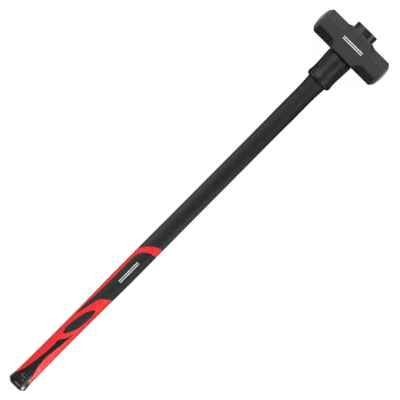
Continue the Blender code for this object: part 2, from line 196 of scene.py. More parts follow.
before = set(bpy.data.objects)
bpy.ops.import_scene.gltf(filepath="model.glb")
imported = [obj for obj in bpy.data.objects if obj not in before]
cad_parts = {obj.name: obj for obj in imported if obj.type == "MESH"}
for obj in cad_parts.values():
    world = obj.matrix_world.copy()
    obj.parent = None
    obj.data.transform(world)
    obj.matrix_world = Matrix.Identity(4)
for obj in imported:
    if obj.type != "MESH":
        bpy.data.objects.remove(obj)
cad_low, cad_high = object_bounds()
head_low, head_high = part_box("hammer_head")

BUTT_X = cad_low.x
LENGTH = cad_high.x - cad_low.x
HALF = (head_high.z - head_low.z) / 2
AXIS_Z = (head_high.z + head_low.z) / 2
HEAD_X = head_low.x + HALF
HEAD_STATION = HEAD_X - BUTT_X
CROWN_DROP = CROWN_RADIUS - math.sqrt(CROWN_RADIUS**2 - CROWN_RIM**2)

MEAN_RADIUS = 0.0165  # the grip is laid out flat at this radius
FLAT_TOP = math.pi * MEAN_RADIUS
GRIP_START = END_BEVEL + 0.0020
GRIP_END = BAND_APEX + 0.0040
OFFSETS = [SEAM_ROUND * k for k in (0.07, 0.27, 0.6, 1.1, 1.9, 3.0)]  # rows beside a seam


def smooth_table(rows):
    """A smooth function through the table that never overshoots between two entries."""
    xs, ys = (np.array(column) for column in zip(*rows))
    steps = np.diff(xs)
    rises = np.diff(ys) / steps
    slopes = np.zeros(len(xs))
    for i in range(1, len(xs) - 1):
        if rises[i - 1] * rises[i] > 0:
            before = 2 * steps[i] + steps[i - 1]
            after = steps[i] + 2 * steps[i - 1]
            slopes[i] = (before + after) / (before / rises[i - 1] + after / rises[i])

    def value(x):
        x = np.clip(x, xs[0], xs[-1])
        i = np.clip(np.searchsorted(xs, x, side="right") - 1, 0, len(xs) - 2)
        h = steps[i]
        u = (x - xs[i]) / h
        start = (1 + 2 * u) * (1 - u) ** 2 * ys[i] + u * (1 - u) ** 2 * h * slopes[i]
        end = u * u * (3 - 2 * u) * ys[i + 1] + u * u * (u - 1) * h * slopes[i + 1]
        return start + end

    return value


handle_width = smooth_table(WIDTH_BY_STATION)
depth_share = smooth_table(DEPTH_SHARE_BY_STATION)
collar_width = smooth_table(COLLAR_BY_STATION)


def signed_power(value, power):
    return np.sign(value) * np.abs(value) ** power


def y_at(station, turn):
    """How far to the side the handle's surface is at an angle round it from +Y."""
    return handle_width(station) / 2 * signed_power(np.cos(turn), 2 / SHAFT_SQUARENESS)


def handle_points(station, turn, sink=0.0):
    """Points this far below the handle's surface. Turn is the angle round it from +Y."""
    station, turn, sink = np.broadcast_arrays(station, turn, sink)
    half = handle_width(station) / 2
    depth = half * depth_share(station)
    y = y_at(station, turn)
    z = depth * signed_power(np.sin(turn), 2 / SHAFT_SQUARENESS)
    across = signed_power(y / half, SHAFT_SQUARENESS - 1) / half
    up = signed_power(z / depth, SHAFT_SQUARENESS - 1) / depth
    size = np.hypot(across, up)
    return np.stack(
        [BUTT_X + station, y - across / size * sink, AXIS_Z + z - up / size * sink], axis=-1
    )


def turn_at(station, y):
    """The angle round the handle's upper half at which its surface lies at y."""
    share = np.clip(y / (handle_width(station) / 2), -1, 1)
    return np.arccos(signed_power(share, SHAFT_SQUARENESS / 2))


# ---- mesh building ----


def ring_turns(columns):
    """Even angles round a ring."""
    return np.arange(columns) * 2 * math.pi / columns


def round_ring(station, radius, turn):
    """A circle about the handle's axis."""
    x = np.full(len(turn), BUTT_X + station)
    return np.stack([x, radius * np.cos(turn), AXIS_Z + radius * np.sin(turn)], axis=1)


def section_at(station, turn, sink, like=LENGTH):
    """The handle's section as it is at the station like, moved to another station."""
    ring = handle_points(like, turn, sink)
    ring[:, 0] = BUTT_X + station
    return ring


def add_object(name, vertices, faces, weld=1e-6, sharp=None):
    mesh = bpy.data.meshes.new(name)
    mesh.from_pydata([Vector(v) for v in vertices], [], faces)
    obj = bpy.data.objects.new(name, mesh)
    bpy.context.scene.collection.objects.link(obj)
    bm = bmesh.new()
    bm.from_mesh(mesh)
    if weld:
        bmesh.ops.remove_doubles(bm, verts=bm.verts, dist=weld)
    bmesh.ops.recalc_face_normals(bm, faces=bm.faces)
    bm.to_mesh(mesh)
    bm.free()
    mesh.shade_smooth()
    if sharp is not None:
        mesh.set_sharp_from_angle(angle=math.radians(sharp))
    return obj


def stack(rings, ends=(), closed=False):
    """Points and faces of rings joined in turn, with a flat face over each ring in ends."""
    count, columns = len(rings), len(rings[0])
    faces = []
    for r in range(count if closed else count - 1):
        here = r * columns
        there = (r + 1) % count * columns
        for i in range(columns):
            j = (i + 1) % columns
            faces.append((here + i, here + j, there + j, there + i))
    faces += [tuple(range(end * columns, (end + 1) * columns)) for end in ends]
    return np.concatenate(rings), faces


def cut(obj, tool):
    modifier = obj.modifiers.new("cut", "BOOLEAN")
    modifier.solver = "EXACT"
    modifier.object = tool
    graph = bpy.context.evaluated_depsgraph_get()
    result = bpy.data.meshes.new_from_object(obj.evaluated_get(graph))
    obj.modifiers.clear()
    old = obj.data
    obj.data = result
    bpy.data.meshes.remove(old)
    bpy.data.objects.remove(tool)
    return obj


def arc(before, corner, after, radius, steps=5):
    """Points of the round that replaces a corner between two straight runs, in the plane."""
    before, corner, after = (np.array(p, float) for p in (before, corner, after))
    a = (before - corner) / np.linalg.norm(before - corner)
    b = (after - corner) / np.linalg.norm(after - corner)
    half_angle = math.acos(np.clip(a @ b, -1, 1)) / 2
    middle = (a + b) / np.linalg.norm(a + b)
    centre = corner + middle * radius / math.sin(half_angle)
    start = corner + a * radius / math.tan(half_angle) - centre
    end = corner + b * radius / math.tan(half_angle) - centre
    sweep = math.pi - 2 * half_angle
    points = []
    for i in range(steps + 1):
        u = i / steps
        swung = (start * math.sin((1 - u) * sweep) + end * math.sin(u * sweep)) / math.sin(sweep)
        points.append(tuple(centre + swung))
    return points


def curve_through(points, closed, pitch):
    """A smooth curve through the points, sampled about every pitch."""
    count = len(points)
    curve = []
    for i in range(count if closed else count - 1):
        picks = [k % count if closed else min(max(k, 0), count - 1) for k in range(i - 1, i + 3)]
        p0, p1, p2, p3 = (Vector(points[k]) for k in picks)
        steps = max(2, math.ceil((p2 - p1).length / pitch))
        for k in range(steps):
            u = k / steps
            along = (p2 - p0) * u
            bend = (2 * p0 - 5 * p1 + 4 * p2 - p3) * u**2
            finish = (3 * p1 - p0 - 3 * p2 + p3) * u**3
            curve.append(tuple(p1 + 0.5 * (along + bend + finish)))
    if not closed:
        curve.append(tuple(points[-1]))
    return curve


# ---- head ----


def rounded_max(a, b, radius):
    """The larger of two distances, with the edge between the two surfaces rounded."""
    over = np.hypot(np.maximum(radius + a, 0), np.maximum(radius + b, 0))
    return np.minimum(-radius, np.maximum(a, b)) + over


def head_distance(x, y, z):
    """Roughly how far a point is outside the forging, negative inside it."""
    away = np.abs(y)
    boss = BOSS_HEIGHT * np.clip(
        (BOSS_FOOT_HALF - away) / (BOSS_FOOT_HALF - BOSS_TOP_HALF), 0, 1
    )
    right = x - HALF - boss
    left = -x - HALF
    sides = rounded_max(right, np.abs(z) - HALF, CHEEK_EDGE)
    sides = rounded_max(sides, left, CHEEK_EDGE)
    into = np.clip(RUNOUT_START - away, 0, RUNOUT_RADIUS)
    rise = RUNOUT_RADIUS - np.sqrt(RUNOUT_RADIUS**2 - into**2)
    chamfer = (np.abs(x) + np.abs(z)) / math.sqrt(2) - HALF - rise
    body = rounded_max(sides, chamfer, HEAD_EDGE)
    reach = np.hypot(x, z)
    crown = np.sqrt(reach**2 + (away - HEAD_LENGTH / 2 + CROWN_RADIUS) ** 2) - CROWN_RADIUS
    cone = away - (HEAD_LENGTH / 2 - CROWN_DROP) + (reach - CROWN_RIM) * RIM_BEVEL_SLOPE
    cone = cone / math.hypot(1, RIM_BEVEL_SLOPE)
    end = rounded_max(crown, cone, CROWN_EDGE)
    return rounded_max(body, end, HEAD_EDGE)


def cast(origin, direction):
    """Where rays that start inside the forging leave it."""
    low = np.zeros(len(direction))
    high = np.full(len(direction), 0.06)
    for _ in range(34):
        middle = (low + high) / 2
        p = origin + direction * middle[:, None]
        outside = head_distance(p[:, 0], p[:, 1], p[:, 2]) > 0
        high = np.where(outside, middle, high)
        low = np.where(outside, low, middle)
    return origin + direction * low[:, None]


def head_angles(count):
    """Angles round the head, closer together at its long edges."""
    even = ring_turns(count)
    return even - 0.45 * np.sin(16 * even) / 16


def build_head():
    columns = 320
    angle = head_angles(columns)
    round_y = np.stack([np.cos(angle), np.zeros(columns), np.sin(angle)], axis=1)
    turn_in = 0.053  # beyond this the rings are cast towards the striking face
    stops = [0.0, 0.018, 0.041, turn_in]
    counts = [8, 46, 9]
    aims = [(0.0, 0.0)]
    for start, end, count in zip(stops, stops[1:], counts):
        aims += [(start + (end - start) * i / count, 0.0) for i in range(1, count + 1)]
    for i in range(1, 63):
        aims.append((turn_in, math.radians(89.0) * (1 - (1 - i / 62) ** 1.15)))
    rings = []
    for y, tilt in [(-y, -tilt) for y, tilt in reversed(aims[1:])] + aims:
        rays = round_y * math.cos(tilt) + np.array([0, math.sin(tilt), 0])
        rings.append(cast(np.array([0, y, 0]), rays))
    points, faces = stack(rings)
    first = len(points)
    last = first - columns
    points = np.concatenate([points, [(0, -HEAD_LENGTH / 2, 0), (0, HEAD_LENGTH / 2, 0)]])
    for i in range(columns):
        j = (i + 1) % columns
        faces.append((first, j, i))
        faces.append((first + 1, last + i, last + j))
    points = points + np.array([HEAD_X, 0, AXIS_Z])
    head = add_object("head_forging", points, faces)

    turn = ring_turns(128)
    mouth = HEAD_STATION + HALF + BOSS_HEIGHT
    foot = HEAD_STATION - HALF
    spread = 4 * EYE_CHAMFER
    profile = [
        (foot - spread, EYE_CHAMFER + spread),
        (foot + EYE_CHAMFER, 0.0),
        (mouth - EYE_CHAMFER, 0.0),
        (mouth + spread, EYE_CHAMFER + spread),
    ]
    rings = [section_at(station, turn, -EYE_CLEARANCE - growth) for station, growth in profile]
    cut(head, add_object("eye", *stack(rings, ends=(0, 3))))
    head.data.shade_smooth()
    head.data.set_sharp_from_angle(angle=math.radians(32))
    return head


def build_resin():
    """The resin ring, with its surface drawn down a little between handle and eye."""
    turn = ring_turns(128)
    mouth = HEAD_STATION + HALF + BOSS_HEIGHT
    foot = HEAD_STATION - HALF + 0.0010
    profile = [
        (foot, -0.0001),
        (mouth - 0.0004, -0.0001),
        (mouth - 0.0009, -0.0004),
        (mouth - 0.0010, -0.0007),
        (mouth - 0.0009, -0.0010),
        (mouth - 0.0007, -EYE_CLEARANCE),
        (foot, -EYE_CLEARANCE),
    ]
    rings = [section_at(station, turn, sink) for station, sink in profile]
    return add_object("eye_resin_fill", *stack(rings, closed=True), sharp=50)


def build_core():
    turn = ring_turns(96)
    end = LENGTH - CORE_RECESS
    edge = 0.0004
    profile = [(CORE_START, 0.0), (CORE_START, CORE_RADIUS), (end - edge, CORE_RADIUS)]
    profile += [(end, CORE_RADIUS - edge), (end, CORE_RADIUS * 0.5), (end, 0.0)]
    rings = [round_ring(station, radius, turn) for station, radius in profile]
    return add_object("core_rod", *stack(rings), sharp=30)


# ---- handle ----


def band_edge(y):
    return BAND_APEX - BAND_SLOPE * (y - BAND_CENTRE) ** 2


def band_station(turn):
    """Station of the sleeve's upper edge at an angle round the handle."""
    station = np.full(np.shape(turn), BAND_APEX - 0.01)
    for _ in range(8):
        station = band_edge(y_at(station, turn))
    return station


def seam_drop(distance, radius):
    """How far the surface falls away at a rounded edge, by distance from the seam."""
    short = np.clip(radius - distance, 0, radius)
    return radius - np.sqrt(radius**2 - short**2)


def build_jacket():
    turn = ring_turns(COLUMNS)
    edge = band_station(turn)
    even = 0.3900
    rings = [handle_points(station, turn, SKIN + JACKET_STEP) for station in (edge - 0.004, edge)]
    near = [0.0, 0.00008, 0.0002, 0.00045, 0.0009, 0.0018, 0.0035]
    for step in near:
        rings.append(handle_points(edge + step, turn, seam_drop(step, SEAM_ROUND)))
    for i in range(1, 13):
        rings.append(handle_points(edge + near[-1] + (even - edge - near[-1]) * i / 12, turn))
    stations = list(np.arange(even, 0.735, 0.010)[1:]) + list(np.arange(0.735, 0.835, 0.004))
    stations += [0.850, 0.870, 0.885, LENGTH - 0.004, LENGTH - 0.002]
    rings += [handle_points(s, turn) for s in stations]
    for i in range(7):
        angle = math.pi / 2 * i / 6
        back = STUB_EDGE * (1 - math.sin(angle))
        rings.append(section_at(LENGTH - back, turn, STUB_EDGE * (1 - math.cos(angle))))
    bore = CORE_RADIUS + FIT
    edge = 0.0004
    outer = rings[-1]
    mouth = round_ring(LENGTH, bore + edge, turn)
    for share in (0.5, 0.98):
        rings.append(outer * (1 - share) + mouth * share)
    rings += [mouth, round_ring(LENGTH - edge, bore, turn), round_ring(0.330, bore, turn)]
    return add_object("shaft_moulding", *stack(rings, closed=True), sharp=40)


def to_flat(points):
    """(station, y) points of the upper half, laid out flat as (station, length round)."""
    points = np.array(points)
    return np.stack([points[:, 0], turn_at(points[:, 0], points[:, 1]) * MEAN_RADIUS], axis=1)


def inside_handle(outline):
    """The run of an open outline that lies over the handle, ending exactly at its sides."""
    points = [np.array(p) for p in outline]
    margin = [float(handle_width(p[0])) / 2 - abs(p[1]) for p in points]
    run = []
    for i in range(len(points)):
        if i and margin[i] * margin[i - 1] < 0:
            share = margin[i - 1] / (margin[i - 1] - margin[i])
            crossing = points[i - 1] + (points[i] - points[i - 1]) * share
            crossing[1] = math.copysign(float(handle_width(crossing[0])) / 2, crossing[1])
            run.append(crossing)
        if margin[i] > 0:
            run.append(points[i])
    return run


def within(outline, points):
    """Which of the points lie inside a closed outline."""
    x, y = points[:, 0], points[:, 1]
    inside = np.zeros(len(points), bool)
    for (x0, y0), (x1, y1) in zip(outline, outline[1:] + outline[:1]):
        if y0 == y1:
            continue
        crosses = (y0 > y) != (y1 > y)
        inside ^= crosses & (x < (x1 - x0) * (y - y0) / (y1 - y0) + x0)
    return inside


def evenly(flat, pitch, closed=False):
    """The polyline's points again, evenly spaced."""
    if closed:
        flat = np.concatenate([flat, flat[:1]])
    lengths = np.concatenate([[0], np.cumsum(np.linalg.norm(np.diff(flat, axis=0), axis=1))])
    count = max(2, round(lengths[-1] / pitch))
    at = np.linspace(0, lengths[-1], count + 1)
    points = np.stack([np.interp(at, lengths, flat[:, k]) for k in (0, 1)], axis=1)
    return points[:-1] if closed else points


def grip_seams(panel, oval, tongue):
    """The colour boundaries laid out flat, each with whether it is closed."""
    turns = np.linspace(0, math.pi, 121)
    band = np.stack([band_station(turns), turns * MEAN_RADIUS], axis=1)
    seams = [
        (evenly(to_flat(inside_handle(panel)), SEAM_PITCH), False),
        (evenly(to_flat(oval), SEAM_PITCH, True), True),
        (evenly(to_flat(inside_handle(tongue)), SEAM_PITCH), False),
        (evenly(band, SEAM_PITCH), False),
    ]
    for seam, closed in seams:
        if not closed:
            for end in (seam[0], seam[-1]):
                end[1] = 0.0 if end[1] < FLAT_TOP / 2 else FLAT_TOP
    return seams


def distance_from(seams):
    """A function that gives a flat point's distance from the nearest seam."""
    near = kdtree.KDTree(sum(len(seam) for seam, _ in seams) * 8)
    for seam, closed in seams:
        for point in evenly(seam, SEAM_PITCH / 8, closed):
            near.insert((*point, 0), 0)
    near.balance()

    def distance(point):
        return near.find((point[0], point[1], 0))[2]

    return distance


def lay_seams(seams, distance, points, edges):
    """Add the seams, and rows of points at the offsets on both sides of them."""
    low, high = GRIP_START + SIDE_CLEAR, GRIP_END - SIDE_CLEAR
    for seam, closed in seams:
        first = len(points)
        count = len(seam)
        points += [tuple(p) for p in seam]
        edges += [(first + i, first + i + 1) for i in range(count - 1)]
        if closed:
            edges.append((first + count - 1, first))
        ahead = np.roll(seam, -1, axis=0) if closed else np.gradient(seam, axis=0) + seam
        behind = np.roll(seam, 1, axis=0) if closed else seam
        along = ahead - behind
        normal = np.stack([-along[:, 1], along[:, 0]], axis=1)
        normal /= np.linalg.norm(normal, axis=1)[:, None]
        for offset in OFFSETS:
            clear = SIDE_CLEAR + 0.3 * offset
            for side in (-1, 1):
                for p in seam + normal * offset * side:
                    if clear < p[1] < FLAT_TOP - clear and low < p[0] < high:
                        if distance(p) > 0.96 * offset:
                            points.append(tuple(p))


def lay_border(seams, points, edges):
    """Add the layout's outer border, with finer steps where a seam meets it."""
    lines = []
    for level in (0.0, FLAT_TOP):
        line = {GRIP_START, GRIP_END}
        for seam, closed in seams:
            for end in () if closed else (seam[0], seam[-1]):
                if abs(end[1] - level) < 1e-9:
                    steps = [0.0] + [side * offset for offset in OFFSETS for side in (-1, 1)]
                    line |= {end[0] + d for d in steps if GRIP_START < end[0] + d < GRIP_END}
        for s in np.arange(GRIP_START, GRIP_END, GRIP_PITCH)[1:]:
            if min(abs(s - p) for p in line) > GRIP_PITCH * 0.6:
                line.add(float(s))
        lines.append([(s, level) for s in sorted(line)])
    turns = np.linspace(0, FLAT_TOP, COLUMNS // 2 + 1)
    lines += [[(station, v) for v in turns] for station in (GRIP_START, GRIP_END)]
    for line in lines:
        first = len(points)
        points += line
        edges += [(first + i, first + i + 1) for i in range(len(line) - 1)]


def lay_field(distance, points):
    """Add staggered rows of points wherever no seam and no dimple is near."""
    clear = OFFSETS[-1] + GRIP_PITCH * 0.45
    row = 0
    v = GRIP_PITCH * 0.8
    while v < FLAT_TOP - GRIP_PITCH * 0.4:
        start = GRIP_START + GRIP_PITCH * 0.8 + GRIP_PITCH * (0.5 if row % 2 else 0.0)
        for s in np.arange(start, GRIP_END - GRIP_PITCH * 0.5, GRIP_PITCH):
            away = math.hypot(s - DIMPLE_STATION, y_at(s, v / MEAN_RADIUS))
            if away >= DIMPLE_RADIUS * 1.3 and distance((s, v)) > clear:
                points.append((float(s), v))
        row += 1
        v += GRIP_PITCH * 0.866


def lay_dimple(distance, points):
    """Add circles of points over the dimple, closest at its rim."""
    pitch = 0.0008
    fine = pitch / 2
    radius = 0.0
    while radius < DIMPLE_RADIUS * 1.27:
        count = max(1, round(2 * math.pi * radius / pitch))
        for i in range(count):
            angle = 2 * math.pi * (i + 0.5 * (round(radius / fine) % 2)) / count
            s = DIMPLE_STATION + radius * math.cos(angle)
            p = (s, float(turn_at(s, radius * math.sin(angle))) * MEAN_RADIUS)
            if distance(p) > OFFSETS[-1] * 1.2:
                points.append(p)
        radius += fine if abs(radius - DIMPLE_RADIUS) < 0.0012 else pitch


def grip_layout():
    """The upper half of the grip laid out flat and cut into triangles along its seams."""
    panel = curve_through(PANEL_OUTLINE, False, SEAM_PITCH)
    oval = curve_through(OVAL_OUTLINE, True, SEAM_PITCH)
    tongue = curve_through(TONGUE_OUTLINE, False, SEAM_PITCH)
    seams = grip_seams(panel, oval, tongue)
    distance = distance_from(seams)
    points = []
    edges = []
    lay_seams(seams, distance, points, edges)
    lay_border(seams, points, edges)
    lay_field(distance, points)
    lay_dimple(distance, points)

    scale = 1000.0
    flat = [Vector((p[0] * scale, p[1] * scale)) for p in points]
    found = delaunay_2d_cdt(flat, edges, [], 0, 1e-4)
    vertices = np.array([(v.x / scale, v.y / scale) for v in found[0]])
    triangles = np.array(found[2])
    centres = vertices[triangles].mean(axis=1)
    y = y_at(centres[:, 0], centres[:, 1] / MEAN_RADIUS)
    seen = np.stack([centres[:, 0], y], axis=1)
    area = {
        "panel": within(panel, seen),
        "oval": within(oval, seen),
        "cap": within(tongue + [(-FAR, OUTLINE_REACH), (-FAR, -OUTLINE_REACH)], seen),
    }
    rest = ~(area["panel"] | area["oval"] | area["cap"])
    area["sleeve"] = rest & (seen[:, 0] < band_edge(y))
    gaps = np.array([distance(p) for p in vertices])
    return vertices, triangles, area, gaps


def taper(points):
    """Make the cap shallower near the butt."""
    run = np.clip(1 - (points[:, 0] - BUTT_X) / BUTT_TAPER_RUN, 0, 1)
    points[:, 2] = AXIS_Z + (points[:, 2] - AXIS_Z) * (1 - BUTT_TAPER * run**2)
    return points


def upper_points(vertices, sink):
    """The flat layout's points back on the handle, sunk by this much, with the dimple in it."""
    station = vertices[:, 0]
    turn = vertices[:, 1] / MEAN_RADIUS
    points = taper(handle_points(station, turn, sink))
    away = np.hypot(station - DIMPLE_STATION, points[:, 1])
    bowl = DIMPLE_DEPTH * (1 - (away / DIMPLE_RADIUS) ** 2)
    points[:, 2] -= 0.5 * (bowl + np.hypot(bowl, DIMPLE_BLEND)) * (away < DIMPLE_CLEAR)
    return points


def lay_piece(name, layout, part, halves, rise=0.0, swell=0.0, extra=None):
    """One moulded piece of the grip, as a shell of the skin's thickness."""
    vertices, triangles, area, gaps = layout
    chosen = triangles[area[part]]
    used, inverse = np.unique(chosen, return_inverse=True)
    inverse = inverse.reshape(chosen.shape)
    gap = gaps[used]
    swelling = swell * np.clip(1 - gap / LIP_REACH, 0, 1) ** 1.5
    upper = upper_points(vertices[used], seam_drop(gap, SEAM_ROUND) - rise - swelling)
    points = []
    faces = []
    for sign in halves:
        first = sum(len(p) for p in points)
        half = upper.copy()
        half[:, 2] = AXIS_Z + sign * (half[:, 2] - AXIS_Z)
        points.append(half)
        order = inverse if sign > 0 else inverse[:, ::-1]
        faces += [tuple(first + i for i in f) for f in order.tolist()]
    if extra:
        more_points, more_faces = extra
        first = sum(len(p) for p in points)
        points.append(more_points)
        faces += [tuple(first + i for i in f) for f in more_faces]
    obj = add_object(name, np.concatenate(points), faces, weld=2e-6)
    face_away(obj)
    solid = obj.modifiers.new("thickness", "SOLIDIFY")
    solid.thickness = SKIN
    solid.offset = -1
    return obj


def face_away(obj):
    """Turn an open shell's faces to point away from the handle's axis."""
    outward = 0.0
    for face in obj.data.polygons:
        away = Vector((0, face.center.y, face.center.z - AXIS_Z))
        outward += face.normal.dot(away) * face.area
    if outward < 0:
        obj.data.flip_normals()


def cap_end():
    """Rings that close the butt: the side, its bevel and the flat end.

    The bevel is deep at the two sides and only a small break above and below.
    """
    turn = ring_turns(COLUMNS)
    sideways_share = np.abs(np.cos(turn)) ** BEVEL_BREADTH
    depth = TOP_BREAK + (END_BEVEL - TOP_BREAK) * sideways_share
    drop = TOP_BREAK + (END_BEVEL_DROP - TOP_BREAK) * sideways_share
    start = GRIP_START
    outline = []
    for here, fall in zip(depth, drop):
        side, outer, inner, middle = (start, 0.0), (here, 0.0), (0.0, fall), (0.0, 0.0160)
        roundness = 0.25 * here + 0.0002
        points = [(start + (here - start) * share, 0.0) for share in (0.0, 0.2, 0.4, 0.6)]
        points += arc(side, outer, inner, roundness)
        points += arc(outer, inner, middle, 0.8 * roundness)
        outline.append(points)
    rings = []
    for points in zip(*outline):
        station, sink = (np.array(values) for values in zip(*points))
        rings.append(taper(section_at(station, turn, sink, np.maximum(station, TOP_BREAK))))
    centre = np.array([BUTT_X, 0, AXIS_Z])
    last = rings[-1]
    for share in (0.8, 0.6, 0.4, 0.2, 0.05):
        rings.append(centre + (last - centre) * share)
    return stack(rings, ends=[len(rings) - 1])


# ---- collar ----


def build_collar():
    turn = ring_turns(192)
    lip_end = COLLAR_START + COLLAR_LIP_RADIUS
    profile = []
    for i in range(13):
        angle = math.pi / 2 * i / 12
        station = lip_end - COLLAR_LIP_RADIUS * math.cos(angle)
        profile.append((station, COLLAR_LIP_RADIUS * (1 - math.sin(angle))))
    profile += [(s, 0.0) for s in np.linspace(lip_end, COLLAR_END - 0.0010, 40)[1:]]
    profile += [(COLLAR_END - 0.0003, 0.0003), (COLLAR_END, 0.0010)]
    rings = []
    for station, fall in profile:
        share = (station - COLLAR_START) / (COLLAR_END - COLLAR_START)
        half = float(collar_width(max(station, COLLAR_BY_STATION[0][0]))) / 2
        depth = half * (COLLAR_DEPTH_LOW + (COLLAR_DEPTH_HIGH - COLLAR_DEPTH_LOW) * share)
        y = (half - fall) * np.cos(turn)
        z = (depth - fall) * np.sin(turn)
        rings.append(np.stack([np.full(len(turn), BUTT_X + station), y, AXIS_Z + z], axis=1))
    for station in (COLLAR_END, COLLAR_START):
        rings.append(handle_points(station, turn, -FIT))
    return add_object("collar_moulding", *stack(rings, closed=True), sharp=40)


# ---- materials ----


class Look:
    """One material, with short calls for the nodes that its pattern is made of.

    Patterns are placed by object coordinates, which are metres in the part's frame. A scale is
    in features per metre.
    """

    def __init__(self, name):
        self.material = bpy.data.materials.new(name)
        self.material.use_nodes = True
        self.tree = self.material.node_tree
        self.shader = self.tree.nodes["Principled BSDF"]
        self.place = self.tree.nodes.new("ShaderNodeTexCoord").outputs["Object"]
        split = self.node("SeparateXYZ", Vector=self.place)
        self.x, self.y, self.z = (split.outputs[axis] for axis in "XYZ")

    def node(self, kind, settings=None, **inputs):
        made = self.tree.nodes.new("ShaderNode" + kind)
        for key, value in (settings or {}).items():
            setattr(made, key, value)
        for key, value in inputs.items():
            self.give(made.inputs[key.replace("_", " ")], value)
        return made

    def give(self, socket, value):
        if isinstance(value, bpy.types.NodeSocket):
            self.tree.links.new(value, socket)
        else:
            socket.default_value = value

    def math(self, operation, *values, kind="Math", output=0):
        made = self.node(kind, {"operation": operation})
        for socket, value in zip(made.inputs, values):
            self.give(socket, value)
        return made.outputs[output]

    def vector(self, operation, *values, output="Vector"):
        return self.math(operation, *values, kind="VectorMath", output=output)

    def noise(self, scale, detail=2.0, stretch=(1, 1, 1)):
        place = self.node("Mapping", Vector=self.place, Scale=stretch).outputs[0]
        made = self.node("TexNoise", Vector=place, Scale=scale, Detail=detail)
        return made.outputs["Fac"]

    def cells(self, scale, stretch=(1, 1, 1)):
        place = self.node("Mapping", Vector=self.place, Scale=stretch).outputs[0]
        return self.node("TexVoronoi", Vector=place, Scale=scale).outputs["Distance"]

    def step(self, value, start, end, low=0.0, high=1.0):
        """A smooth change from low to high while the value goes from start to end."""
        made = self.node("MapRange", {"interpolation_type": "SMOOTHSTEP"}, Value=value)
        ends = {"From Min": start, "From Max": end, "To Min": low, "To Max": high}
        for key, number in ends.items():
            self.give(made.inputs[key], number)
        return made.outputs["Result"]

    def band(self, value, centre, width, soft):
        """One within a band of this width about the centre, none outside it."""
        away = self.math("ABSOLUTE", self.math("SUBTRACT", value, centre))
        return self.step(away, (width - soft) / 2, (width + soft) / 2, 1.0, 0.0)

    def times(self, *values):
        product = values[0]
        for value in values[1:]:
            product = self.math("MULTIPLY", product, value)
        return product

    def mix(self, share, first, second):
        made = self.node("Mix", {"data_type": "RGBA"})
        self.give(made.inputs["Factor"], share)
        for socket, value in ((made.inputs[6], first), (made.inputs[7], second)):
            self.give(socket, value if isinstance(value, bpy.types.NodeSocket) else (*value, 1.0))
        return made.outputs[2]

    def blend(self, share, first, second):
        made = self.node("Mix", {"data_type": "FLOAT"})
        self.give(made.inputs["Factor"], share)
        self.give(made.inputs[2], first)
        self.give(made.inputs[3], second)
        return made.outputs[0]

    def vary(self, low, high, scale, detail=3.0, stretch=(1, 1, 1)):
        """A value that drifts between low and high."""
        return self.step(self.noise(scale, detail, stretch), *NOISE_SPREAD, low, high)

    def tint(self, colour, lift, scale, detail=3.0, stretch=(1, 1, 1)):
        """A colour that drifts towards lift times itself."""
        return self.mix(self.noise(scale, detail, stretch), colour, [lift * c for c in colour])

    def fleck(self, mask, share, colour, other):
        """A colour with a share of another one where the mask is."""
        return self.mix(self.times(mask, share), colour, other)

    def parting(self):
        return self.band(self.z, AXIS_Z, *PARTING_LINE)

    def relief(self, *heights):
        """Bumps, one over another. Each is a pattern and its height in metres."""
        normal = None
        for pattern, height in heights:
            bump = self.node("Bump", Height=pattern, Distance=height)
            if normal:
                self.give(bump.inputs["Normal"], normal)
            normal = bump.outputs["Normal"]
        return normal

    def finish(self, colour, roughness, normal, metallic=None):
        self.give(self.shader.inputs["Base Color"], colour)
        self.give(self.shader.inputs["Roughness"], roughness)
        self.give(self.shader.inputs["Normal"], normal)
        if metallic:
            self.give(self.shader.inputs["Metallic"], metallic)
        return self.material


def twin_stripes(look, run, run_centre, run_length, across, middle, width):
    """Two plain printed lines side by side, on the upper side only."""
    above = look.step(look.z, AXIS_Z, AXIS_Z + 0.0005)
    length = look.band(run, run_centre, run_length, 0.0003)
    apart = (PRINT_GAP + width) / 2
    lines = [look.band(across, middle + shift, width, 0.0002) for shift in (-apart, apart)]
    return look.times(above, length, look.math("MAXIMUM", *lines))


